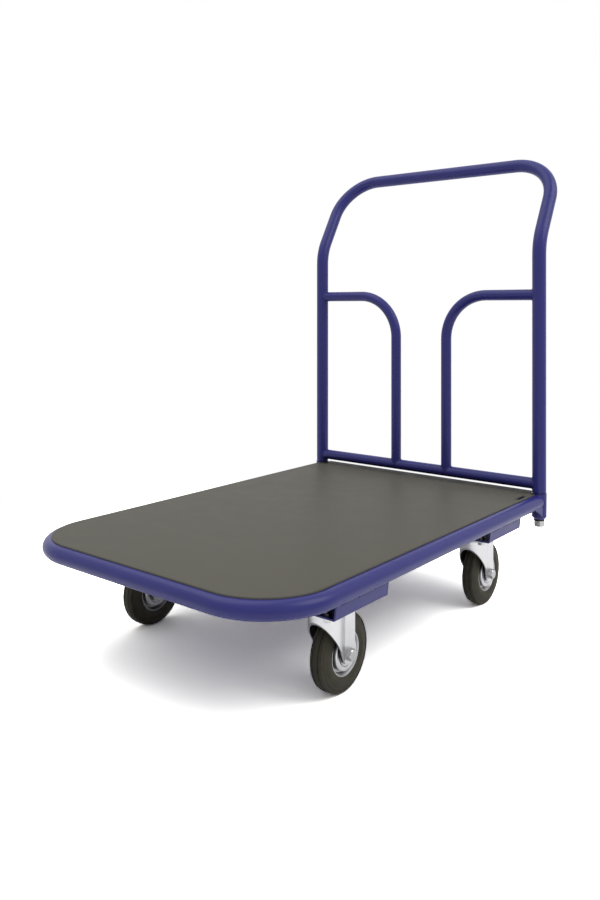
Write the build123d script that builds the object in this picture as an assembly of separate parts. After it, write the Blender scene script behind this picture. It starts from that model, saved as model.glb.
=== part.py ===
from build123d import *
import os
from math import acos, atan2, cos, hypot, pi, radians, sin, tan

# Platform cart with a bolted push handle, in millimetres.
# While it is built, Y = 0 is the axis of the handle's uprights, -Y is the front and Z = 0 is the floor.
# The finished pieces are shifted along Y, so that the origin is the bottom centre of the whole cart.

# Main round tube: platform frame, rear rail and handle
main_tube = 32.0
main_wall = 2.0

# Thinner round tube: handle braces and bottom rail
brace_tube = 26.0
brace_wall = 1.5

# Platform frame
upright_spacing = 639.0
frame_length = 953.0
frame_corner_radius = 128.5
weld_gap = 0.1

# Deck panel
deck_sheet = 3.0
deck_side_inset = 3.5
deck_front_inset = 0.5
deck_edge_radius = 1.2
deck_socket_gap = 0.4
deck_slot_width = 11.0
deck_slot_length = 45.0
deck_slot_inset = 14.5
deck_slot_distance = 73.0

# Crossmembers under the deck
crossmember_width = 40.0
crossmember_height = 20.0
crossmember_wall = 2.0
crossmember_offset = 52.0

# Sockets for the handle
socket_diameter = 34.4
socket_above_frame = 19.4
socket_below_frame = 41.0
socket_floor = 8.0
socket_chamfer = 5.0
socket_chamfer_height = 5.5
gusset_sheet = 4.0
gusset_offset = 11.7
gusset_length = 65.5
gusset_height = 40.8

# Handle
knee_height = 591.0
lean_rise = 204.6
lean_angle = 30.0
knee_radius = 122.0
handle_corner_radius = 110.0
crossbar_height = 466.0
brace_offset = 74.4
brace_bend_radius = 110.0
rail_height = 21.0

# Spigots and retaining bolts
seam_gap = 2.2
spigot_diameter = 27.0
spigot_clearance = 0.3
spigot_grip = 60.0
retaining_bolt = 14.0
retaining_bolt_reach = 30.0
retaining_head = 14.0
retaining_washer = 25.0
washer_sheet = 3.5
bolt_hole_clearance = 0.5
thread_clearance = 0.1

# Hex sizes: across flats and height as shares of the thread's diameter, end face as a share of the flats
hex_flats_ratio = 1.58
hex_head_ratio = 0.62
hex_nut_ratio = 0.8
hex_face_ratio = 0.95

# Wheels
wheel_diameter = 140.0
wheel_width = 33.0
tread_width = 20.0
tread_drop = 1.0
tread_groove_place = 5.7
tread_groove_width = 1.4
tread_groove_depth = 0.9
shoulder_drop = 4.8
shoulder_width = 25.6
shoulder_bulge = 0.9
shoulder_undercut = 0.7
flank_ring_diameter = 114.0
flank_ring_inset = 2.1
flank_bulge = 0.45
crest_diameter = 96.0
rim_diameter = 79.0
rim_lip = 1.0
rim_lip_width = 2.0
rim_recess = 2.3
rim_groove_depth = 11.0
rim_groove_width = 3.5
disc_diameter = 61.0
disc_edge = 2.5
hub_diameter = 42.0
hub_length = 35.0
hub_groove_width = 1.5
hub_groove_depth = 1.5
bearing_diameter = 30.0
bearing_width = 9.0
fit_clearance = 0.05

# Casters
front_kingpin = 734.5
rear_kingpin = 189.0
wheel_plane = 244.5
trail = 39.5
fork_sheet = 3.0
fork_head_radius = 30.0
fork_side_clearance = 2.0
fork_front_height = 68.5
fork_crease = 11.5
fork_leg_radius = 18.0
fork_edge_radius = 4.0
spacer_wall = 2.2
wheel_top_clearance = 13.0
axle_diameter = 12.0
axle_head = 10.0
axle_clearance = 0.08

# Swivel head
swivel_gap = 12.5
race_radius = 23.0
race_width = 9.0
ball_diameter = 6.0
ball_count = 12
ball_clearance = 0.3
ball_seat = 0.05
dust_lip_sheet = 1.5
dust_lip_gap = 1.0
kingpin_diameter = 12.0
kingpin_clearance = 0.08
kingpin_head = 20.0
kingpin_nut_height = 8.0

# Caster top plates and the brackets that they are bolted to
plate_sheet = 4.0
plate_width = 130.0
plate_length = 144.0
plate_corner = 8.0
plate_bolt = 8.0
plate_bolt_flange = 16.0
plate_bolt_flange_height = 1.6
plate_holes_across = 98.0
plate_holes_along = 120.0
bracket_sheet = 3.0
bracket_length = 152.0
bracket_drop = 24.1
bracket_outset = 1.5
bracket_lean = 3.0
bracket_bend = 4.0

# Heights, worked out from the floor up
main_radius = main_tube / 2
axle_height = wheel_diameter / 2
crown_bottom = wheel_diameter + wheel_top_clearance
crown_top = crown_bottom + fork_sheet
plate_bottom = crown_top + swivel_gap
plate_top = plate_bottom + plate_sheet
frame_bottom = plate_top + bracket_drop
frame_axis = frame_bottom + main_radius
frame_top = frame_axis + main_radius
deck_top = frame_top + deck_sheet
socket_top = frame_axis + socket_above_frame
socket_bottom = frame_axis - socket_below_frame
upright_foot = socket_top + seam_gap

# Places across and along the cart
half_spacing = upright_spacing / 2
lean_run = lean_rise * tan(radians(lean_angle))
cart_front = -frame_length - main_radius
cart_back = lean_run + main_radius
origin_y = (cart_front + cart_back) / 2
sides = {"left": -1, "right": 1}
kingpin_places = {"front": -front_kingpin, "rear": -rear_kingpin}


def save(shape, node):
    """Write one node, shifted so that the origin is the cart's bottom centre."""
    export_step(Pos(0, -origin_y, 0) * shape, f"parts/{node}.step")


def bent_tube(points, bend_radii, diameter, wall):
    """Round tube along straight runs joined by tangent arcs."""
    route = FilletPolyline(*points, radius=bend_radii)
    start = Plane(origin=route @ 0, z_dir=route % 0)
    section = Circle(diameter / 2) - Circle(diameter / 2 - wall)
    return sweep(start * section, path=route)


def straight_tube(start, end, diameter, wall):
    """Round tube between two points."""
    along = Vector(*end) - Vector(*start)
    section = Circle(diameter / 2) - Circle(diameter / 2 - wall)
    return extrude(Plane(origin=start, z_dir=along) * section, along.length)


def rod(x, y, bottom, top, diameter):
    """Upright round bar."""
    return Pos(x, y, bottom) * extrude(Circle(diameter / 2), top - bottom)


def side_bar(x, diameter):
    """Round bar along Y through a side tube's axis, used to cope what meets that tube."""
    bar = Cylinder(diameter / 2, 3 * frame_length, rotation=(90, 0, 0))
    return Pos(x, 0, frame_axis) * bar


def hexagon(thread, height):
    """Bolt head or nut that stands on Z = 0, with the corners of its free end chamfered."""
    flat = hex_flats_ratio * thread / 2
    corner = flat / cos(pi / 6)
    prism = extrude(RegularPolygon(flat, 6, major_radius=False), height)
    limit = Pos(0, 0, height / 2) * Cylinder(corner, height)
    free_edge = limit.edges().filter_by(GeomType.CIRCLE).sort_by(Axis.Z)[-1]
    return prism & chamfer(free_edge, corner - hex_face_ratio * flat)


def frame_tube():
    """U-bent tube that runs round the front and both sides, coped to the sockets at its ends."""
    corners = [
        (-half_spacing, 0, frame_axis),
        (-half_spacing, -frame_length, frame_axis),
        (half_spacing, -frame_length, frame_axis),
        (half_spacing, 0, frame_axis),
    ]
    tube = bent_tube(corners, frame_corner_radius, main_tube, main_wall)
    return tube - socket_copes()


def socket_copes():
    """Round cutters at the two sockets, larger by the weld gap."""
    cutter = socket_diameter + 2 * weld_gap
    left = rod(-half_spacing, 0, socket_bottom, deck_top + socket_diameter, cutter)
    right = rod(half_spacing, 0, socket_bottom, deck_top + socket_diameter, cutter)
    return left + right


def rear_rail():
    """Tube between the two sockets that carries the deck's rear edge."""
    start = (-half_spacing, 0, frame_axis)
    end = (half_spacing, 0, frame_axis)
    rail = straight_tube(start, end, main_tube, main_wall) - socket_copes()
    for side in sides.values():
        rail -= side_bar(side * half_spacing, main_tube + 2 * weld_gap)
    return largest(rail)


def crossmember(y):
    """Rectangular tube under the deck, coped to the side tubes."""
    outside = Rectangle(crossmember_width, crossmember_height)
    inside = Rectangle(crossmember_width - 2 * crossmember_wall, crossmember_height - 2 * crossmember_wall)
    middle = frame_top - crossmember_height / 2
    bar = extrude(Plane.YZ * (outside - inside), half_spacing, both=True)
    bar = Pos(0, y, middle) * bar
    for side in sides.values():
        bar -= side_bar(side * half_spacing, main_tube + 2 * weld_gap)
    return largest(bar)


def largest(shape):
    """The largest solid that a cut has left."""
    return shape.solids().sort_by(SortBy.VOLUME)[-1]


def deck_panel():
    """Sheet on top of the frame, with a rounded upper edge and notches for the sockets."""
    half_width = half_spacing - deck_side_inset
    length = frame_length - deck_front_inset + main_radius
    sheet = Pos(0, main_radius - length / 2, 0) * Rectangle(2 * half_width, length)
    front_corners = sheet.vertices().sort_by(Axis.Y)[:2]
    sheet = fillet(front_corners, frame_corner_radius - deck_side_inset)
    panel = extrude(sheet, deck_sheet)
    panel = fillet(panel.faces().sort_by(Axis.Z)[-1].edges(), deck_edge_radius)
    notch = socket_diameter / 2 + deck_socket_gap
    for side in sides.values():
        panel -= rod(side * half_spacing, 0, 0, deck_sheet, 2 * notch)
        panel -= Pos(side * half_spacing, notch, deck_sheet / 2) * Box(2 * notch, 2 * notch, deck_sheet)
    slot = Box(deck_slot_width, deck_slot_length, deck_sheet)
    panel -= Pos(half_spacing - deck_slot_inset, -deck_slot_distance, deck_sheet / 2) * slot
    return Pos(0, 0, frame_top) * panel


def socket(side):
    """Rear socket: a thick sleeve with a floor that the retaining bolt bears on."""
    x = side * half_spacing
    body = rod(x, 0, socket_bottom, socket_top, socket_diameter)
    bottom_edge = body.edges().filter_by(GeomType.CIRCLE).sort_by(Axis.Z)[0]
    body = chamfer(bottom_edge, socket_chamfer_height, socket_chamfer)
    bore = spigot_diameter + 2 * spigot_clearance
    body -= rod(x, 0, socket_bottom + socket_floor, socket_top, bore)
    hole = retaining_bolt + 2 * bolt_hole_clearance
    return body - rod(x, 0, socket_bottom, socket_top, hole)


def gusset_pair(side):
    """Two triangular plates at a socket: one outboard under the side tube, one under the rear rail."""
    x = side * half_spacing
    outline = Polyline((0, 0), (-gusset_length, 0), (0, -gusset_height), close=True)
    plate = extrude(Plane.YZ * make_face(outline), gusset_sheet / 2, both=True)
    side_plate = Pos(x + side * gusset_offset, 0, frame_axis) * plate
    rail_plate = Pos(x, 0, frame_axis) * Rot(0, 0, -side * 90) * plate
    rail_bar = Cylinder(main_tube / 2 + weld_gap, 2 * upright_spacing, rotation=(0, 90, 0))
    cutters = socket_copes() + side_bar(x, main_tube + 2 * weld_gap)
    cutters += Pos(0, 0, frame_axis) * rail_bar
    return Compound([largest(side_plate - cutters), largest(rail_plate - cutters)])


def caster_bracket(side, y):
    """Bent sheet under a side tube: the outer web leans out to the tube, the inner meets the crossmembers."""
    inner = wheel_plane - half_spacing
    outer = half_spacing - wheel_plane + bracket_outset
    outer_top = outer + bracket_lean
    web_top = frame_bottom + bracket_sheet
    inner_top = frame_top - crossmember_height
    floor_top = plate_top + bracket_sheet
    outline = Polyline(
        (outer_top, web_top),
        (outer, plate_top),
        (inner, plate_top),
        (inner, inner_top),
        (inner + bracket_sheet, inner_top),
        (inner + bracket_sheet, floor_top),
        (outer - bracket_sheet, floor_top),
        (outer_top - bracket_sheet, web_top),
        close=True,
    )
    profile = make_face(outline)
    bends = profile.vertices().group_by(Axis.Y)[0]
    profile = fillet(bends, bracket_bend)
    sheet = extrude(Plane.XZ * profile, bracket_length / 2, both=True)
    if side < 0:
        sheet = mirror(sheet, Plane.YZ)
    sheet = Pos(side * wheel_plane, y, 0) * sheet
    sheet -= side_bar(side * half_spacing, main_tube + 2 * weld_gap)
    hole = plate_bolt + 2 * bolt_hole_clearance
    for hole_x, hole_y in plate_holes(side, y):
        sheet -= rod(hole_x, hole_y, plate_bottom, frame_bottom, hole)
    return sheet


def plate_holes(side, y):
    """Centres of the four bolts of one caster."""
    return [
        (side * wheel_plane + across * plate_holes_across / 2, y + along * plate_holes_along / 2)
        for across in (-1, 1)
        for along in (-1, 1)
    ]


def plate_bolts_and_nuts():
    """All flanged bolts that hold the caster plates, heads inside the brackets, and their nuts below."""
    bolts = []
    nuts = []
    nut_height = hex_nut_ratio * plate_bolt
    head_height = plate_bolt_flange_height + hex_head_ratio * plate_bolt
    seat = plate_top + bracket_sheet
    for side in sides.values():
        for y in kingpin_places.values():
            for hole_x, hole_y in plate_holes(side, y):
                shank = rod(hole_x, hole_y, plate_bottom - nut_height, seat, plate_bolt)
                head = Pos(hole_x, hole_y, seat) * hexagon(plate_bolt, head_height)
                flange = rod(hole_x, hole_y, seat, seat + plate_bolt_flange_height, plate_bolt_flange)
                bolts.append(shank + head + flange)
                nut = Pos(hole_x, hole_y, plate_bottom) * Rot(180, 0, 0) * hexagon(plate_bolt, nut_height)
                bore = plate_bolt + 2 * thread_clearance
                nuts.append(nut - rod(hole_x, hole_y, plate_bottom - nut_height, plate_bottom, bore))
    return Compound(bolts), Compound(nuts)


def race_groove(ball_height):
    """Ring cutter of the ball's section with its clearance, round the Z axis."""
    section = Plane.XZ * (Pos(race_radius, ball_height) * Circle(ball_diameter / 2 + ball_clearance))
    return revolve(section, Axis.Z)


def ring(inner, outer, bottom, top):
    """Flat ring round the Z axis, given by its radii."""
    return Pos(0, 0, bottom) * extrude(Circle(outer) - Circle(inner), top - bottom)


def ball_height():
    """Height of the swivel balls' centres, half way between crown and plate."""
    return (crown_top + plate_bottom) / 2


def top_plate():
    """Caster plate with its upper race and dust lip, round the kingpin's axis at X = Y = 0."""
    sheet = RectangleRounded(plate_width, plate_length, plate_corner)
    plate = Pos(0, 0, plate_bottom) * extrude(sheet, plate_sheet)
    race_inner = race_radius - race_width / 2
    race_outer = race_radius + race_width / 2
    plate += ring(race_inner, race_outer, ball_height() + ball_clearance, plate_bottom)
    lip_inner = race_outer + dust_lip_gap
    plate += ring(race_outer, lip_inner + dust_lip_sheet, plate_bottom - dust_lip_sheet, plate_bottom)
    plate += ring(lip_inner, lip_inner + dust_lip_sheet, ball_height() - ball_diameter / 2, plate_bottom)
    plate -= race_groove(ball_height())
    plate -= kingpin_shape(fit_clearance)
    hole = plate_bolt + 2 * bolt_hole_clearance
    for across in (-1, 1):
        for along in (-1, 1):
            hole_x = across * plate_holes_across / 2
            hole_y = along * plate_holes_along / 2
            plate -= rod(hole_x, hole_y, plate_bottom, plate_top, hole)
    return plate


def kingpin_shape(growth):
    """Countersunk pin riveted into the plate, grown outwards by a clearance."""
    pin_radius = kingpin_diameter / 2 + growth
    head_radius = kingpin_head / 2 + growth
    bottom = crown_bottom - kingpin_nut_height
    outline = Polyline(
        (0, plate_top),
        (head_radius, plate_top),
        (pin_radius, plate_bottom),
        (pin_radius, bottom),
        (0, bottom),
        close=True,
    )
    return revolve(Plane.XZ * make_face(outline), Axis.Z)


def kingpin():
    """Kingpin and the nut that holds the fork up against the balls."""
    nut = hexagon(kingpin_diameter, kingpin_nut_height - ball_clearance)
    nut -= Cylinder(kingpin_diameter / 2 + thread_clearance, 4 * kingpin_nut_height)
    nut = Pos(0, 0, crown_bottom - ball_clearance) * Rot(180, 0, 0) * nut
    return Compound([kingpin_shape(0).solid(), nut.solid()])


def swivel_balls():
    """Ring of balls between the crown and the plate."""
    ball = Pos(race_radius, 0, ball_height() - ball_clearance + ball_seat) * Sphere(ball_diameter / 2)
    return Compound([Rot(0, 0, 360 * number / ball_count) * ball for number in range(ball_count)])


def fork_plan(inset):
    """Horseshoe outline of the fork seen from above, moved inwards by an inset."""
    half_leg = wheel_width / 2 + fork_side_clearance + fork_sheet - inset
    head = fork_head_radius - inset
    crease = trail - fork_crease
    back = trail + fork_leg_radius
    touch = atan2(crease, half_leg) - acos(head / hypot(half_leg, crease))
    touch_x = head * cos(touch)
    touch_y = head * sin(touch)
    sides_and_back = Polyline(
        (touch_x, touch_y),
        (half_leg, crease),
        (half_leg, back),
        (-half_leg, back),
        (-half_leg, crease),
        (-touch_x, touch_y),
    )
    front = ThreePointArc((-touch_x, touch_y), (0, -head), (touch_x, touch_y))
    return make_face(sides_and_back + front)


def fork():
    """Pressed swivel fork: crown, wrapped front, sloping lower edge and two rounded legs."""
    height = crown_top
    outside = extrude(fork_plan(0), height)
    outside = fillet(outside.faces().sort_by(Axis.Z)[-1].outer_wire().edges(), fork_edge_radius)
    inside = extrude(fork_plan(fork_sheet), crown_bottom)
    back_room = Pos(0, trail + fork_leg_radius, crown_bottom / 2)
    half_gap = wheel_width / 2 + fork_side_clearance
    inside += back_room * Box(2 * half_gap, 2 * fork_sheet, crown_bottom)
    shell = outside - inside
    shell = shell & fork_side()
    race_inner = race_radius - race_width / 2
    race_outer = race_radius + race_width / 2
    shell += ring(race_inner, race_outer, crown_top, ball_height() - ball_clearance)
    shell -= Pos(0, 0, ball_seat - 2 * ball_clearance) * race_groove(ball_height() + ball_clearance)
    shell -= Cylinder(kingpin_diameter / 2 + kingpin_clearance, 4 * crown_top)
    axle_hole = Cylinder(axle_diameter / 2 + thread_clearance, 4 * fork_head_radius, rotation=(0, 90, 0))
    return shell - Pos(0, trail, axle_height) * axle_hole


def fork_side():
    """Side outline of the fork: vertical back, round leg ends and a straight sloping front edge."""
    reach = fork_head_radius + trail
    slope = pi - atan2(fork_front_height, reach)
    touch = slope + acos(fork_leg_radius / hypot(reach, fork_front_height))
    middle = (touch + 2 * pi) / 2
    touch_point = (trail + fork_leg_radius * cos(touch), axle_height + fork_leg_radius * sin(touch))
    lowest = (trail + fork_leg_radius * cos(middle), axle_height + fork_leg_radius * sin(middle))
    back = trail + fork_leg_radius
    edges = Polyline(
        (back, axle_height),
        (back, crown_top),
        (-fork_head_radius, crown_top),
        (-fork_head_radius, axle_height + fork_front_height),
        touch_point,
    )
    leg_end = ThreePointArc(touch_point, lowest, (back, axle_height))
    return extrude(Plane.YZ * make_face(edges + leg_end), 2 * fork_head_radius, both=True)


def axle():
    """Axle bolt, its nut, and the two spacers between the fork's legs and the bearings."""
    leg_face = wheel_width / 2 + fork_side_clearance + fork_sheet
    nut_height = hex_nut_ratio * axle_diameter
    outwards = Rot(0, 90, 0) * Rot(0, 0, 90)
    inwards = Rot(0, -90, 0) * Rot(0, 0, 90)
    shank = extrude(Circle(axle_diameter / 2), 2 * leg_face + nut_height)
    bolt = Pos(-leg_face - nut_height, 0, 0) * outwards * shank
    bolt += Pos(leg_face, 0, 0) * outwards * hexagon(axle_diameter, axle_head)
    nut = hexagon(axle_diameter, nut_height)
    nut -= Cylinder(axle_diameter / 2 + thread_clearance, 4 * nut_height)
    nut = Pos(-leg_face, 0, 0) * inwards * nut
    spacers = []
    for side in sides.values():
        length = leg_face - fork_sheet - hub_length / 2
        sleeve = Circle(axle_diameter / 2 + spacer_wall) - Circle(axle_diameter / 2 + thread_clearance)
        sleeve = extrude(Plane.YZ * sleeve, (length - fit_clearance) / 2, both=True)
        spacers.append(Pos(side * (hub_length / 2 + (length + fit_clearance) / 2), 0, 0) * sleeve)
    return Compound([bolt.solid(), nut.solid()] + [spacer.solid() for spacer in spacers])


def rim():
    """Wheel rim: hub, raised disc, and a groove whose sloping wall ends in the lip that holds the tyre."""
    seat = rim_diameter / 2
    half = wheel_width / 2
    half_hub = hub_length / 2
    hub = hub_diameter / 2
    disc = disc_diameter / 2
    disc_start = hub + hub_groove_width
    bore = bearing_diameter / 2 + fit_clearance
    groove_floor = half - rim_groove_depth
    lip_end = half - rim_recess
    outline = Polyline(
        (0, bore),
        (half_hub, bore),
        (half_hub, hub),
        (half - hub_groove_depth, hub),
        (half - hub_groove_depth, disc_start),
        (half, disc_start),
        (half, disc),
        (groove_floor, disc),
        (groove_floor, disc + rim_groove_width),
        (lip_end, seat - rim_lip),
        (lip_end, seat),
        (lip_end - rim_lip_width, seat),
        (lip_end - rim_lip_width - rim_lip, seat - rim_lip),
        (0, seat - rim_lip),
        close=True,
    )
    profile = make_face(outline)
    disc_corner = profile.vertices().sort_by_distance((half, disc, 0))[0]
    half_rim = revolve(fillet(disc_corner, disc_edge), Axis.X)
    return half_rim + mirror(half_rim, Plane.YZ)


def bulged(start, end, bulge):
    """Arc between two (along, radius) points, pushed out to the left of its direction by a bulge."""
    run = end[0] - start[0]
    rise = end[1] - start[1]
    length = hypot(run, rise)
    middle_x = (start[0] + end[0]) / 2 - bulge * rise / length
    middle_y = (start[1] + end[1]) / 2 + bulge * run / length
    return ThreePointArc(start, (middle_x, middle_y), end)


def tyre():
    """Rubber tyre: three tread ribs, undercut round shoulders, and a flank that swells twice to a crest."""
    outer = wheel_diameter / 2
    seat = rim_diameter / 2 + fit_clearance
    half = wheel_width / 2
    lip_start = half - rim_recess - rim_lip_width
    tread_edge = (tread_width / 2, outer - tread_drop)
    shoulder = (shoulder_width / 2, outer - shoulder_drop)
    undercut = (shoulder[0] - shoulder_undercut, shoulder[1] - 2 * shoulder_undercut)
    flank_ring = (half - flank_ring_inset, flank_ring_diameter / 2)
    crest = (half, crest_diameter / 2)
    groove_near = tread_groove_place - tread_groove_width / 2
    groove_far = tread_groove_place + tread_groove_width / 2
    groove_top = outer - tread_drop / 4
    groove_floor = groove_top - tread_groove_depth
    tread = Polyline(
        (0, seat - rim_lip),
        (0, outer),
        (groove_near, groove_top),
        (groove_near, groove_floor),
        (groove_far, groove_floor),
        (groove_far, groove_top),
        tread_edge,
    )
    bead = Polyline(
        crest,
        (half - rim_recess, seat),
        (lip_start, seat),
        (lip_start - rim_lip, seat - rim_lip),
        (0, seat - rim_lip),
    )
    outline = tread + bulged(tread_edge, shoulder, shoulder_bulge) + Line(shoulder, undercut)
    outline = outline + bulged(undercut, flank_ring, flank_bulge)
    outline = outline + bulged(flank_ring, crest, flank_bulge) + bead
    half_tyre = revolve(make_face(outline), Axis.X)
    return half_tyre + mirror(half_tyre, Plane.YZ)


def wheel_bearings():
    """Two bearings pressed into the ends of the hub."""
    inner = axle_diameter / 2 + axle_clearance
    section = Circle(bearing_diameter / 2) - Circle(inner)
    middle = hub_length / 2 - bearing_width / 2
    bearing = extrude(Plane.YZ * section, bearing_width / 2, both=True)
    return Compound([(Pos(side * middle, 0, 0) * bearing).solid() for side in sides.values()])


def handle_tube():
    """Inverted U whose uprights end just above the sockets and whose top leans back."""
    knee = deck_top + knee_height
    top = knee + lean_rise
    corners = [
        (-half_spacing, 0, upright_foot),
        (-half_spacing, 0, knee),
        (-half_spacing, lean_run, top),
        (half_spacing, lean_run, top),
        (half_spacing, 0, knee),
        (half_spacing, 0, upright_foot),
    ]
    radii = [knee_radius, handle_corner_radius, handle_corner_radius, knee_radius]
    return bent_tube(corners, radii, main_tube, main_wall)


def upright_cope(side):
    """Round cutter at an upright, larger by the weld gap."""
    return rod(side * half_spacing, 0, upright_foot, deck_top + knee_height, main_tube + 2 * weld_gap)


def handle_rail():
    """Bottom rail between the uprights, just above the deck."""
    height = deck_top + rail_height
    rail = straight_tube((-half_spacing, 0, height), (half_spacing, 0, height), brace_tube, brace_wall)
    return largest(rail - upright_cope(-1) - upright_cope(1))


def handle_brace(side):
    """Brace from an upright inwards, round a bend and down to the bottom rail."""
    height = deck_top + crossbar_height
    rail = deck_top + rail_height
    corners = [
        (side * half_spacing, 0, height),
        (side * brace_offset, 0, height),
        (side * brace_offset, 0, rail),
    ]
    tube = bent_tube(corners, [brace_bend_radius], brace_tube, brace_wall)
    rail_cope = Cylinder(brace_tube / 2 + weld_gap, 2 * upright_spacing, rotation=(0, 90, 0))
    tube -= Pos(0, 0, rail) * rail_cope
    return largest(tube - upright_cope(side))


def spigot(side):
    """Solid bar fixed in an upright's lower end, which stands on the socket's floor and takes the bolt."""
    x = side * half_spacing
    inside = main_tube - 2 * main_wall - 2 * weld_gap
    bottom = socket_bottom + socket_floor + fit_clearance
    bar = rod(x, 0, bottom, upright_foot, spigot_diameter)
    bar += rod(x, 0, upright_foot, upright_foot + spigot_grip, inside)
    thread = retaining_bolt + 2 * thread_clearance
    return bar - rod(x, 0, bottom, bottom + retaining_bolt_reach, thread)


def retaining_bolt_shape(side):
    """Hex bolt that goes up through the socket's floor into the spigot."""
    x = side * half_spacing
    seat = socket_bottom - washer_sheet
    tip = socket_bottom + socket_floor + retaining_bolt_reach
    head = Pos(x, 0, seat) * Rot(180, 0, 0) * hexagon(retaining_bolt, retaining_head)
    return rod(x, 0, seat, tip, retaining_bolt) + head


def retaining_washers():
    """Washers under the sockets."""
    washers = []
    for side in sides.values():
        x = side * half_spacing
        washer = rod(x, 0, socket_bottom - washer_sheet, socket_bottom, retaining_washer)
        hole = retaining_bolt + 2 * bolt_hole_clearance
        washers.append(washer - rod(x, 0, socket_bottom - washer_sheet, socket_bottom, hole))
    return Compound([washer.solid() for washer in washers])


def build_platform():
    """Frame, deck, sockets and the brackets for the casters."""
    save(frame_tube(), "platform_frame_tube")
    save(rear_rail(), "rear_cross_rail")
    save(deck_panel(), "deck_panel")
    middle = -(front_kingpin + rear_kingpin) / 2
    places = [middle]
    for y in kingpin_places.values():
        places += [y - crossmember_offset, y + crossmember_offset]
    for number, y in enumerate(sorted(places), start=1):
        save(crossmember(y), f"crossmember_{number}")
    for name, side in sides.items():
        save(socket(side), f"handle_socket_{name}")
        save(gusset_pair(side), f"socket_gussets_{name}")


def build_handle():
    """The welded handle and the bolts that hold it in the sockets."""
    save(handle_tube(), "handle_tube")
    save(handle_rail(), "handle_bottom_rail")
    for name, side in sides.items():
        save(handle_brace(side), f"handle_brace_{name}")
        save(spigot(side), f"handle_spigot_{name}")
        save(retaining_bolt_shape(side), f"retaining_bolt_{name}")
    save(retaining_washers(), "retaining_washers")


def build_casters():
    """Four swivel casters, alike, with the wheels trailing behind their kingpins."""
    head_pieces = {
        "caster_plate": top_plate(),
        "kingpin": kingpin(),
        "swivel_balls": swivel_balls(),
        "caster_fork": fork(),
    }
    wheel_pieces = {
        "axle_bolt": axle(),
        "wheel_rim": rim(),
        "tyre": tyre(),
        "wheel_bearings": wheel_bearings(),
    }
    for end, y in kingpin_places.items():
        for name, side in sides.items():
            corner = f"{end}_{name}"
            save(caster_bracket(side, y), f"caster_bracket_{corner}")
            for piece, shape in head_pieces.items():
                save(Pos(side * wheel_plane, y, 0) * shape, f"{piece}_{corner}")
            turn = Rot(0, 0, 0) if side > 0 else Rot(0, 0, 180)
            for piece, shape in wheel_pieces.items():
                save(Pos(side * wheel_plane, y + trail, axle_height) * turn * shape, f"{piece}_{corner}")
    bolts, nuts = plate_bolts_and_nuts()
    save(bolts, "caster_plate_bolts")
    save(nuts, "caster_plate_nuts")


os.makedirs("parts", exist_ok=True)
build_platform()
build_handle()
build_casters()
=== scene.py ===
import math

import bmesh
import bpy
from mathutils import Matrix, Vector


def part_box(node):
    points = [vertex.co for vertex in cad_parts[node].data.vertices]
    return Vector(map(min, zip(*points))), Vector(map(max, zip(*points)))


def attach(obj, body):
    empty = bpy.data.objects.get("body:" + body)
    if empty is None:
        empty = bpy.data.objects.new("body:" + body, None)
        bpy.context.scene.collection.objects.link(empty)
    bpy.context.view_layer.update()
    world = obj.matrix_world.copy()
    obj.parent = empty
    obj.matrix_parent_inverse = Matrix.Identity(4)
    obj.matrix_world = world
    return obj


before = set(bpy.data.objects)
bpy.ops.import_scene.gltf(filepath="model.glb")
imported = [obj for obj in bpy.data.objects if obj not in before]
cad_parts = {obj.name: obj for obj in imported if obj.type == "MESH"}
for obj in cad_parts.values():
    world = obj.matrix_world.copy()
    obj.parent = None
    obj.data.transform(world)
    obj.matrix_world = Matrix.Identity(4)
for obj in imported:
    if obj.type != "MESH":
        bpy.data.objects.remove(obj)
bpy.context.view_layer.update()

bl_info = {
    "name": "Platform cart",
    "version": (1, 0, 0),
    "blender": (4, 5, 0),
    "location": "View3D > Sidebar > Cart",
    "description": "Gives the frame of a platform cart its finishes and small pieces",
    "category": "Object",
}

MM = 0.001

# The texture's values between which a finish goes over from one patch to the next.
PATCH_RANGE = (0.3, 0.7)

# Divisions of a weld bead and of the rubber cord.
BEAD_SIDES = 8
STEPS_PER_RIPPLE = 4
CORD_SIDES = 10
CORD_BEND_STEPS = 24

# Half the floor's width, and the distances between which its shadow fades into plain white, in metres.
FLOOR_REACH = 12.0
SHADOW_FADE = (0.8, 1.5)

# How much the floor's paper returns of its light: to the object, to metal and glass, and to the camera.
PAPER = "F0F0F0"
MIRRORED_PAPER = (1.45, 1.45, 1.45, 1.0)
SEEN_PAPER = (3.4, 3.37, 3.28, 1.0)

# The CAD nodes by finish: a node belongs to the first group that its name starts with.
FINISH_OF_NODE = (
    ("caster_bracket", "paint"),
    ("caster_plate_bolts", "bolt"),
    ("caster_plate_nuts", "bolt"),
    ("caster_", "zinc"),
    ("platform_frame", "paint"),
    ("rear_cross_rail", "paint"),
    ("crossmember", "paint"),
    ("handle_", "paint"),
    ("socket_gussets", "paint"),
    ("deck_panel", "deck"),
    ("kingpin", "bolt"),
    ("retaining_washers", "black_washer"),
    ("retaining_bolt", "bolt"),
    ("axle_bolt", "bolt"),
    ("wheel_rim", "zinc"),
    ("swivel_balls", "bearing"),
    ("wheel_bearings", "bearing"),
    ("tyre", "rubber"),
)


def linear(hex_colour):
    """Linear colour with full alpha from an sRGB hex value such as 3E3C73."""
    channels = [int(hex_colour[place:place + 2], 16) / 255 for place in (0, 2, 4)]
    decoded = [c / 12.92 if c <= 0.04045 else ((c + 0.055) / 1.055) ** 2.4 for c in channels]
    return (*decoded, 1.0)


def colour(name, description, hex_colour):
    """Colour property with its default as an sRGB hex value."""
    return bpy.props.FloatVectorProperty(
        name=name, description=description, subtype="COLOR", size=4, min=0.0, max=1.0,
        default=linear(hex_colour),
    )


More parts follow.
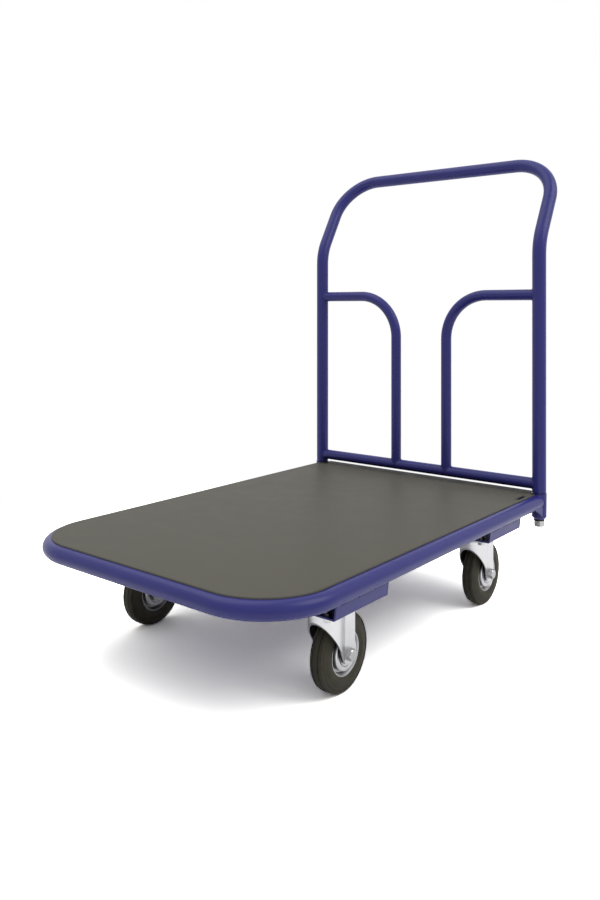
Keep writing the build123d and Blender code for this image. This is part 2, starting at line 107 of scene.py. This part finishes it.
class CartFinishes(bpy.types.PropertyGroup):
    """Colours of the cart's finishes."""

    paint: colour("Paint", "Indigo powder coat on tubes and brackets", "2E2E78")
    paint_pale: colour("Pale paint", "Paler patches of the powder coat", "32327D")
    deck: colour("Deck", "Warm grey coating of the deck panel", "57554C")
    deck_pale: colour("Pale deck", "Paler patches of the deck's coating", "5D5B53")
    # Paler colour of painted light on the deck's faces that don't face up, such as its side edges.
    deck_painted_side_light: colour("Worn deck", "Worn coating at the deck's edges", "706E67")
    zinc: colour("Zinc", "Bright zinc plating of forks, plates and rims", "D2D2D4")
    zinc_dull: colour("Dull zinc", "Duller patches of the zinc plating", "CACACC")
    bolt: colour("Bolts", "Polished zinc plating of bolts and nuts", "B4B4B4")
    # Near-black colour of painted shade, mixed in where ambient occlusion finds a surface enclosed.
    painted_shade: colour("Grime", "Dust and oil that gather in corners", "0C0C0D")
    rubber: colour("Rubber", "Brownish black rubber of the tyres", "3E3B31")
    rubber_pale: colour("Pale rubber", "Paler bloom on the tyres", "4B493E")
    bearing: colour("Bearing steel", "Ground steel of balls and bearings", "B9BAC0")
    black_washer: colour("Black washer", "Black oxide on the washers under the sockets", "1B1B20")


class CartWelds(bpy.types.PropertyGroup):
    """Sizes of the weld beads."""

    bead: bpy.props.FloatProperty(
        name="Bead", description="Radius of a weld bead", unit="LENGTH", precision=4, default=1.6 * MM
    )
    ripple: bpy.props.FloatProperty(
        name="Ripple", description="Distance from one ripple of a bead to the next", unit="LENGTH",
        precision=4, default=2.6 * MM,
    )
    ripple_share: bpy.props.FloatProperty(
        name="Ripple height", description="Height of a ripple, as a share of the bead's radius", default=0.14
    )
    stitch: bpy.props.FloatProperty(
        name="Stitch", description="Length of a stitch that holds a bracket to its tube", unit="LENGTH",
        default=28.0 * MM,
    )


class CartSeal(bpy.types.PropertyGroup):
    """Sizes of the rubber cord that the deck panel lies on."""

    width: bpy.props.FloatProperty(
        name="Width", description="Width of the pressed cord", unit="LENGTH", precision=4, default=4.0 * MM
    )
    height: bpy.props.FloatProperty(
        name="Height", description="Height of the pressed cord", unit="LENGTH", precision=4, default=2.0 * MM
    )
    inset: bpy.props.FloatProperty(
        name="Inset", description="Distance of the cord from the panel's edge", unit="LENGTH",
        precision=4, default=0.6 * MM,
    )
    corner: bpy.props.FloatProperty(
        name="Corner", description="Radius of the panel's front corners", unit="LENGTH", default=125.0 * MM
    )
    rear_gap: bpy.props.FloatProperty(
        name="Rear gap", description="Where the cord ends, in front of the rear rail's axis", unit="LENGTH",
        default=20.0 * MM,
    )


class CartStudio(bpy.types.PropertyGroup):
    """Camera, floor and light."""

    camera_place: bpy.props.FloatVectorProperty(
        name="Camera", description="Where the camera stands", subtype="TRANSLATION", unit="LENGTH",
        default=(1.08127, -1.42699, 0.66916),
    )
    camera_turn: bpy.props.FloatProperty(
        name="Camera turn", description="How far the level camera is turned from the deck's length",
        subtype="ANGLE", default=math.radians(38.80),
    )
    lens: bpy.props.FloatProperty(
        name="Lens", description="Focal length in mm on a 36 mm frame", default=32.589
    )
    shift: bpy.props.FloatProperty(
        name="Shift", description="Vertical shift of the level camera", default=-0.1591
    )
    surround_low: bpy.props.FloatProperty(
        name="Low surround", description="Strength of the surround's light near the floor", default=0.02
    )
    surround_high: bpy.props.FloatProperty(
        name="High surround", description="Strength of the surround's light overhead", default=0.95
    )
    overhead: bpy.props.FloatProperty(
        name="Overhead light", description="Power of the overhead softbox", subtype="POWER", default=20.0
    )
    overhead_width: bpy.props.FloatProperty(
        name="Overhead width", description="Width of the overhead softbox", unit="LENGTH", default=2.4
    )
    overhead_place: bpy.props.FloatVectorProperty(
        name="Overhead place", description="Where the overhead softbox hangs", subtype="TRANSLATION",
        unit="LENGTH", default=(-0.9, -0.6, 3.0),
    )
    side: bpy.props.FloatProperty(
        name="Side light", description="Power of the softbox at the right", subtype="POWER", default=32.0
    )
    side_width: bpy.props.FloatProperty(
        name="Side width", description="Width of the softbox at the right", unit="LENGTH", default=2.0
    )
    side_place: bpy.props.FloatVectorProperty(
        name="Side place", description="Where the softbox at the right hangs", subtype="TRANSLATION",
        unit="LENGTH", default=(2.2, 0.7, 2.6),
    )


def add(tree, kind, inputs=None, **settings):
    """Adds one node with its settings; an input is linked if it is a socket, and otherwise set."""
    node = tree.nodes.new(kind)
    for name, value in settings.items():
        setattr(node, name, value)
    for name, value in (inputs or {}).items():
        if isinstance(value, bpy.types.NodeSocket):
            tree.links.new(value, node.inputs[name])
        else:
            node.inputs[name].default_value = value
    return node


def per_metre(millimetres):
    """Texture scale of a pattern that is so many millimetres wide."""
    return 1.0 / (millimetres * MM)


def coated(name, dark, pale, painted_shade, patch, grain, depth, gloss, recess, painted_side_light=None, **shader_values):
    """Material with patches of two colours and of gloss, a fine grain and painted shade in recesses, sizes in
    mm.

    A recess is given as the reach that makes one, and the shares of open air at which the painted
    shade is full and gone. With a side light colour, the edges of a level sheet show it as painted light.
    """
    reach, fully_shaded, unshaded = recess
    material = bpy.data.materials.new(name)
    material.use_nodes = True
    tree = material.node_tree
    tree.nodes.clear()
    place = add(tree, "ShaderNodeTexCoord").outputs["Object"]
    patches = add(tree, "ShaderNodeTexNoise", {"Vector": place, "Scale": per_metre(patch), "Detail": 4.0})
    fine = add(tree, "ShaderNodeTexNoise", {"Vector": place, "Scale": per_metre(grain), "Detail": 2.0})
    blend = add(
        tree, "ShaderNodeMapRange",
        {"Value": patches.outputs["Fac"], "From Min": PATCH_RANGE[0], "From Max": PATCH_RANGE[1]},
    )
    tint = add(
        tree, "ShaderNodeMix",
        {"Factor": blend.outputs["Result"], "A": dark, "B": pale}, data_type="RGBA",
    )
    # Painted shade: where ambient occlusion finds the surface enclosed, the colour goes to the shade colour.
    open_air = add(tree, "ShaderNodeAmbientOcclusion", {"Distance": reach * MM}, samples=8)
    unshaded_share = add(
        tree, "ShaderNodeMapRange",
        {"Value": open_air.outputs["AO"], "From Min": fully_shaded, "From Max": unshaded},
    )
    surface = add(
        tree, "ShaderNodeMix",
        {"Factor": unshaded_share.outputs["Result"], "A": painted_shade, "B": tint.outputs["Result"]}, data_type="RGBA",
    )
    # Painted light: the faces that don't face up take the side light colour.
    if painted_side_light:
        normal = add(tree, "ShaderNodeNewGeometry").outputs["Normal"]
        upward = add(tree, "ShaderNodeSeparateXYZ", {"Vector": normal}).outputs["Z"]
        surface = add(
            tree, "ShaderNodeMix",
            {"Factor": upward, "A": painted_side_light, "B": surface.outputs["Result"]}, data_type="RGBA",
        )
    sheen = add(
        tree, "ShaderNodeMapRange",
        {"Value": blend.outputs["Result"], "To Min": gloss[0], "To Max": gloss[1]},
    )
    relief = add(
        tree, "ShaderNodeBump",
        {"Height": fine.outputs["Fac"], "Strength": 1.0, "Distance": depth * MM},
    )
    shader = add(
        tree, "ShaderNodeBsdfPrincipled",
        {
            "Base Color": surface.outputs["Result"],
            "Roughness": sheen.outputs["Result"],
            "Normal": relief.outputs["Normal"],
            **shader_values,
        },
    )
    add(tree, "ShaderNodeOutputMaterial", {"Surface": shader.outputs["BSDF"]})
    return material


def powder_coat(finish):
    """Polyester powder baked on steel: even indigo with a soft gloss and a faint orange peel."""
    # Real orange peel is about 1 mm wide, and is drawn at 4 mm so that it shows.
    # The recess gives painted shade in corners and hollows, so that the insides of the caster brackets turn
    # near black.
    return coated(
        "indigo_polyester_powder_coat", finish.paint, finish.paint_pale, finish.painted_shade, patch=70.0, grain=4.0,
        depth=0.03, gloss=(0.28, 0.36), recess=(60.0, 0.14, 0.46), **{"Specular IOR Level": 0.30},
    )


def deck_coating(finish):
    """Textured polyester coating on sheet steel: matt warm grey with a fine grit and patches of wear, with
    painted light on its side edges and painted shade in its recesses.
    """
    # Real grit is about 0.5 mm, and is drawn at 3 mm so that it shows.
    # The recess gives painted shade on the deck under the rear rail and beside the uprights and sockets.
    return coated(
        "textured_grey_deck_coating", finish.deck, finish.deck_pale, finish.painted_shade, patch=45.0, grain=3.0,
        depth=0.10, gloss=(0.42, 0.52), recess=(60.0, 0.52, 0.86), painted_side_light=finish.deck_painted_side_light,
        **{"Specular IOR Level": 0.06},
    )


def zinc_plating(finish):
    """Bright zinc plating on pressed steel: near white metal with a soft sheen and dull drifts."""
    # Real plating crystals are under 0.1 mm, and are drawn at 5 mm so that they show.
    # The recess gives painted shade in the rims' grooves and the forks' insides.
    return coated(
        "bright_zinc_plated_steel", finish.zinc_dull, finish.zinc, finish.painted_shade, patch=25.0, grain=5.0,
        depth=0.02, gloss=(0.30, 0.38), recess=(18.0, 0.10, 0.48), Metallic=1.0,
    )


def bolt_plating(finish):
    """Polished zinc plating on forged bolts: a mirror-like grey metal that shows dark and light flats."""
    # The recess gives painted shade in the corners around bolts and nuts.
    return coated(
        "polished_zinc_plated_bolts", finish.bolt, finish.bolt, finish.painted_shade, patch=10.0, grain=3.0,
        depth=0.01, gloss=(0.22, 0.28), recess=(4.0, 0.05, 0.30), Metallic=1.0,
    )


def ground_steel(finish):
    """Hardened and ground bearing steel: smooth grey metal."""
    # The recess gives painted shade in corners and hollows.
    return coated(
        "ground_bearing_steel", finish.bearing, finish.bearing, finish.painted_shade, patch=10.0, grain=2.0,
        depth=0.005, gloss=(0.16, 0.24), recess=(10.0, 0.10, 0.40), Metallic=1.0,
    )


def moulded_rubber(finish):
    """Rubber moulded on the rim: brownish black, dull, with a paler bloom and a fine mould grain."""
    # Real mould grain is about 0.3 mm, and is drawn at 2 mm so that it shows.
    # The recess gives painted shade in the tyres' grooves and at their ring edges.
    return coated(
        "moulded_black_rubber", finish.rubber, finish.rubber_pale, finish.painted_shade, patch=18.0, grain=2.0,
        depth=0.04, gloss=(0.55, 0.70), recess=(6.0, 0.30, 0.98), **{"Specular IOR Level": 0.18},
    )


def black_oxide(finish):
    """Hot black oxide on a turned steel washer: near black with a dull oily sheen."""
    # The recess gives painted shade in corners and hollows.
    return coated(
        "black_oxide_steel", finish.black_washer, finish.black_washer, finish.painted_shade, patch=8.0, grain=2.0,
        depth=0.01, gloss=(0.35, 0.45), recess=(10.0, 0.10, 0.40), **{"Specular IOR Level": 0.3},
    )


FINISH_MAKERS = {
    "paint": powder_coat,
    "black_washer": black_oxide,
    "deck": deck_coating,
    "zinc": zinc_plating,
    "bolt": bolt_plating,
    "bearing": ground_steel,
    "rubber": moulded_rubber,
}
FINISHES = {}


class CART_OT_finishes(bpy.types.Operator):
    """Gives each CAD node the finish of its real piece"""

    bl_idname = "cart.finishes"
    bl_label = "Finishes"

    def execute(self, context):
        for name, make in FINISH_MAKERS.items():
            FINISHES[name] = make(context.scene.cart_finishes)
        for name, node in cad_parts.items():
            finish = next(finish for start, finish in FINISH_OF_NODE if name.startswith(start))
            node.data.materials.clear()
            node.data.materials.append(FINISHES[finish])
        return {"FINISHED"}


def middle(node):
    """Middle of a node's box."""
    low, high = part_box(node)
    return (Vector(low) + Vector(high)) / 2


def half_size(node):
    """Half the size of a node's box."""
    low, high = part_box(node)
    return (Vector(high) - Vector(low)) / 2


def joined(name, shape, finish):
    """Object at the origin from a finished bmesh, which rides on the platform."""
    bmesh.ops.recalc_face_normals(shape, faces=shape.faces)
    mesh = bpy.data.meshes.new(name)
    shape.to_mesh(mesh)
    shape.free()
    for face in mesh.polygons:
        face.use_smooth = True
    mesh.materials.append(FINISHES[finish])
    piece = bpy.data.objects.new(name, mesh)
    bpy.context.collection.objects.link(piece)
    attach(piece, "platform")


def outline(section):
    """Vertices and edges of a new circle, to be swept."""
    return [*section["verts"], *{edge for vert in section["verts"] for edge in vert.link_edges}]


def close_ends(shape):
    """Fills the open ends of a swept section."""
    ends = [edge for edge in shape.edges if edge.is_boundary]
    bmesh.ops.holes_fill(shape, edges=ends, sides=0)


def ring_bead(shape, welds, foot, run, main_axis, branch_radius, main_radius):
    """Adds the bead where a tube that runs from foot meets a round one whose axis passes through foot."""
    ripples = round(2 * math.pi * branch_radius / welds.ripple)
    before = set(shape.verts)
    upright_section = Matrix.Translation((branch_radius, 0, 0)) @ Matrix.Rotation(math.pi / 2, 4, "X")
    section = bmesh.ops.create_circle(shape, segments=BEAD_SIDES, radius=welds.bead, matrix=upright_section)
    bmesh.ops.spin(
        shape, geom=outline(section), cent=(0, 0, 0), axis=(0, 0, 1),
        angle=2 * math.pi, steps=STEPS_PER_RIPPLE * ripples, use_merge=True,
    )
    across = Vector(main_axis).cross(Vector(run))
    turn = Matrix((across, main_axis, run)).transposed().to_4x4()
    for vert in set(shape.verts) - before:
        around = Vector((vert.co.x, vert.co.y, 0))
        centre = around.normalized() * branch_radius
        swell = 1 + welds.ripple_share * math.cos(ripples * math.atan2(vert.co.y, vert.co.x))
        rise = math.sqrt(max(main_radius ** 2 - centre.x ** 2, 0.0))
        vert.co = centre + (vert.co - centre) * swell + Vector((0, 0, rise))
        vert.co = Matrix.Translation(foot) @ turn @ vert.co


def stitch_bead(shape, welds, place):
    """Adds a straight bead along Y, with its middle at a place and closed ends."""
    ripples = round(welds.stitch / welds.ripple)
    before = set(shape.verts)
    start = Matrix.Translation(Vector(place) - Vector((0, welds.stitch / 2, 0)))
    upright = Matrix.Rotation(math.pi / 2, 4, "X")
    section = bmesh.ops.create_circle(shape, segments=BEAD_SIDES, radius=welds.bead, matrix=start @ upright)
    steps = STEPS_PER_RIPPLE * ripples
    bmesh.ops.spin(
        shape, geom=outline(section), cent=place, axis=(0, 0, 1), dvec=(0, welds.stitch / steps, 0),
        angle=0.0, steps=steps,
    )
    close_ends(shape)
    for vert in set(shape.verts) - before:
        along = vert.co.y - place[1]
        centre = Vector((place[0], vert.co.y, place[2]))
        swell = 1 + welds.ripple_share * math.cos(2 * math.pi * along / welds.ripple)
        vert.co = centre + (vert.co - centre) * swell


class CART_OT_handle_welds(bpy.types.Operator):
    """Adds the weld beads of the handle's bottom rail and braces"""

    bl_idname = "cart.handle_welds"
    bl_label = "Handle welds"

    def execute(self, context):
        welds = context.scene.cart_welds
        upright = half_size("platform_frame_tube").z
        brace = half_size("handle_bottom_rail").z
        rail = middle("handle_bottom_rail")
        shape = bmesh.new()
        for side, name in ((-1, "left"), (1, "right")):
            upright_x = side * (half_size("handle_tube").x - upright)
            low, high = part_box(f"handle_brace_{name}")
            brace_x = side * (min(abs(low[0]), abs(high[0])) + brace)
            for height in (rail.z, high[2] - brace):
                ring_bead(shape, welds, (upright_x, rail.y, height), (-side, 0, 0), (0, 0, 1), brace, upright)
            ring_bead(shape, welds, (brace_x, rail.y, rail.z), (0, 0, 1), (1, 0, 0), brace, brace)
        joined("handle_weld_beads", shape, "paint")
        return {"FINISHED"}


class CART_OT_platform_welds(bpy.types.Operator):
    """Adds the weld beads of the frame tube at the sockets and of the caster brackets"""

    bl_idname = "cart.platform_welds"
    bl_label = "Platform welds"

    def execute(self, context):
        welds = context.scene.cart_welds
        tube = half_size("platform_frame_tube").z
        tube_z = middle("platform_frame_tube").z
        sockets = bmesh.new()
        for side, name in ((-1, "left"), (1, "right")):
            socket = middle(f"handle_socket_{name}")
            foot = (socket.x, socket.y, tube_z)
            ring_bead(sockets, welds, foot, (0, -1, 0), (0, 0, 1), tube, half_size(f"handle_socket_{name}").x)
        bmesh.ops.bisect_plane(
            sockets, geom=[*sockets.verts, *sockets.edges, *sockets.faces], plane_co=(0, 0, tube_z + tube),
            plane_no=(0, 0, 1), clear_outer=True,
        )
        close_ends(sockets)
        joined("socket_weld_beads", sockets, "paint")
        brackets = bmesh.new()
        for end in ("front", "rear"):
            for side, name in ((-1, "left"), (1, "right")):
                bracket = middle(f"caster_bracket_{end}_{name}")
                size = half_size(f"caster_bracket_{end}_{name}")
                for step in (-1, 0, 1):
                    along = bracket.y + step * (size.y - welds.stitch)
                    stitch_bead(brackets, welds, (bracket.x + side * size.x, along, tube_z - tube))
        joined("bracket_weld_beads", brackets, "paint")
        return {"FINISHED"}


class CART_OT_deck_seal(bpy.types.Operator):
    """Lays a rubber cord under the deck panel's edge, along the frame tube"""

    bl_idname = "cart.deck_seal"
    bl_label = "Deck seal"

    def execute(self, context):
        seal = context.scene.cart_seal
        low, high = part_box("deck_panel")
        inset = seal.inset + seal.width / 2
        radius = seal.corner - inset
        side = high[0] - inset
        bend_x = side - radius
        bend_y = low[1] + seal.corner
        rear = middle("rear_cross_rail").y - seal.rear_gap
        shape = bmesh.new()
        stretch = Matrix.Diagonal((seal.width / 2, 1.0, seal.height / 2, 1.0))
        place = Matrix.Translation((side, rear, low[2] - seal.height / 2))
        upright = Matrix.Rotation(math.pi / 2, 4, "X")
        oval = place @ stretch @ upright
        ring = outline(bmesh.ops.create_circle(shape, segments=CORD_SIDES, radius=1.0, matrix=oval))
        still = (0.0, 0.0, 0.0)
        quarter = -math.pi / 2
        runs = (
            (still, 0.0, 1, (0.0, bend_y - rear, 0.0)),
            ((bend_x, bend_y, 0.0), quarter, CORD_BEND_STEPS, still),
            (still, 0.0, 1, (-2 * bend_x, 0.0, 0.0)),
            ((-bend_x, bend_y, 0.0), quarter, CORD_BEND_STEPS, still),
            (still, 0.0, 1, (0.0, rear - bend_y, 0.0)),
        )
        for centre, angle, steps, shift in runs:
            turned = bmesh.ops.spin(
                shape, geom=ring, cent=centre, axis=(0, 0, 1), angle=angle, steps=steps, dvec=shift
            )
            ring = turned["geom_last"]
        close_ends(shape)
        joined("deck_edge_seal", shape, "rubber")
        return {"FINISHED"}


def softbox(name, power, width, place, target):
    """Square area lamp that looks at a point."""
    lamp = bpy.data.lights.new(name, "AREA")
    lamp.energy = power
    lamp.size = width
    holder = bpy.data.objects.new(name, lamp)
    holder.location = place
    holder.rotation_euler = (Vector(target) - Vector(place)).to_track_quat("-Z", "Y").to_euler()
    bpy.context.collection.objects.link(holder)


class CART_OT_stage(bpy.types.Operator):
    """Makes the pale floor, the soft light, the white surround and the camera"""

    bl_idname = "cart.stage"
    bl_label = "Stage"

    def execute(self, context):
        studio = context.scene.cart_studio
        self.make_floor()
        self.make_surround(studio.surround_low, studio.surround_high)
        deck_height = (0.0, 0.0, 0.2)
        handle_height = (0.0, 0.0, 0.4)
        softbox(
            "overhead_softbox", studio.overhead, studio.overhead_width, studio.overhead_place, deck_height
        )
        softbox("side_softbox", studio.side, studio.side_width, studio.side_place, handle_height)
        camera = bpy.data.cameras.new("photo_camera")
        camera.lens = studio.lens
        camera.shift_y = studio.shift
        holder = bpy.data.objects.new("photo_camera", camera)
        holder.location = studio.camera_place
        holder.rotation_euler = (math.radians(90.0), 0.0, studio.camera_turn)
        context.collection.objects.link(holder)
        context.scene.camera = holder
        context.scene.view_settings.view_transform = "Standard"
        return {"FINISHED"}

    def seen_directly(self, tree):
        """Socket that is 1 for what the camera, metal or glass sees, and 0 for the light on things."""
        path = add(tree, "ShaderNodeLightPath")
        plainly = add(
            tree, "ShaderNodeMath",
            {0: path.outputs["Is Camera Ray"], 1: path.outputs["Is Glossy Ray"]}, operation="MAXIMUM",
        )
        seen = add(
            tree, "ShaderNodeMath",
            {0: plainly.outputs["Value"], 1: path.outputs["Is Transmission Ray"]}, operation="MAXIMUM",
        )
        return seen.outputs["Value"]

    def make_floor(self):
        """Wide white floor that keeps the shadow near the cart and turns plain white further out."""
        mesh = bpy.data.meshes.new("studio_floor")
        shape = bmesh.new()
        bmesh.ops.create_grid(shape, x_segments=1, y_segments=1, size=FLOOR_REACH)
        shape.to_mesh(mesh)
        shape.free()
        floor = bpy.data.objects.new("studio_floor", mesh)
        bpy.context.collection.objects.link(floor)
        material = bpy.data.materials.new("matt_white_studio_paper")
        material.use_nodes = True
        tree = material.node_tree
        tree.nodes.clear()
        place = add(tree, "ShaderNodeTexCoord").outputs["Object"]
        away = add(tree, "ShaderNodeVectorMath", {0: place}, operation="LENGTH")
        plain = add(
            tree, "ShaderNodeMapRange",
            {"Value": away.outputs["Value"], "From Min": SHADOW_FADE[0], "From Max": SHADOW_FADE[1]},
            interpolation_type="SMOOTHSTEP",
        )
        path = add(tree, "ShaderNodeLightPath")
        seen = self.seen_directly(tree)
        share = add(tree, "ShaderNodeMath", {0: plain.outputs["Result"], 1: seen}, operation="MULTIPLY")
        mirrored = add(
            tree, "ShaderNodeMix",
            {"Factor": seen, "A": linear(PAPER), "B": MIRRORED_PAPER}, data_type="RGBA",
        )
        tone = add(
            tree, "ShaderNodeMix",
            {"Factor": path.outputs["Is Camera Ray"], "A": mirrored.outputs["Result"], "B": SEEN_PAPER},
            data_type="RGBA",
        )
        paper = add(tree, "ShaderNodeBsdfDiffuse", {"Color": tone.outputs["Result"]})
        white = add(tree, "ShaderNodeEmission", {"Strength": 1.0})
        mix = add(
            tree, "ShaderNodeMixShader",
            {"Fac": share.outputs["Value"], 1: paper.outputs["BSDF"], 2: white.outputs["Emission"]},
        )
        add(tree, "ShaderNodeOutputMaterial", {"Surface": mix.outputs["Shader"]})
        mesh.materials.append(material)

    def make_surround(self, low, high):
        """World that lights the cart softly from above, and that the camera, metal and glass see as white."""
        world = bpy.data.worlds.new("white_surround")
        world.use_nodes = True
        tree = world.node_tree
        tree.nodes.clear()
        direction = add(tree, "ShaderNodeTexCoord").outputs["Object"]
        height = add(tree, "ShaderNodeSeparateXYZ", {"Vector": direction}).outputs["Z"]
        level = add(tree, "ShaderNodeMapRange", {"Value": height, "To Min": low, "To Max": high})
        light = add(tree, "ShaderNodeBackground", {"Strength": level.outputs["Result"]})
        white = add(tree, "ShaderNodeBackground", {"Strength": 1.0})
        for background in (light, white):
            background.inputs["Color"].default_value = (1.0, 1.0, 1.0, 1.0)
        mix = add(
            tree, "ShaderNodeMixShader",
            {"Fac": self.seen_directly(tree), 1: light.outputs["Background"], 2: white.outputs["Background"]},
        )
        add(tree, "ShaderNodeOutputWorld", {"Surface": mix.outputs["Shader"]})
        bpy.context.scene.world = world


class CART_PT_panel(bpy.types.Panel):
    """Lists the steps that dress the cart, and their sizes and colours"""

    bl_idname = "CART_PT_panel"
    bl_label = "Platform cart"
    bl_space_type = "VIEW_3D"
    bl_region_type = "UI"
    bl_category = "Cart"

    def draw(self, context):
        for step in STEPS:
            self.layout.operator(step.bl_idname)
        for name, group in GROUPS.items():
            for value in group.__annotations__:
                self.layout.prop(getattr(context.scene, name), value)


GROUPS = {
    "cart_finishes": CartFinishes,
    "cart_welds": CartWelds,
    "cart_seal": CartSeal,
    "cart_studio": CartStudio,
}
STEPS = (CART_OT_finishes, CART_OT_handle_welds, CART_OT_platform_welds, CART_OT_deck_seal, CART_OT_stage)
CLASSES = (*GROUPS.values(), *STEPS, CART_PT_panel)


def register():
    for kind in CLASSES:
        bpy.utils.register_class(kind)
    for name, group in GROUPS.items():
        setattr(bpy.types.Scene, name, bpy.props.PointerProperty(type=group))


def unregister():
    for name in GROUPS:
        delattr(bpy.types.Scene, name)
    for kind in reversed(CLASSES):
        bpy.utils.unregister_class(kind)


def main():
    register()
    bpy.ops.cart.finishes()
    bpy.ops.cart.handle_welds()
    bpy.ops.cart.platform_welds()
    bpy.ops.cart.deck_seal()
    bpy.ops.cart.stage()


if __name__ == "__main__":
    main()
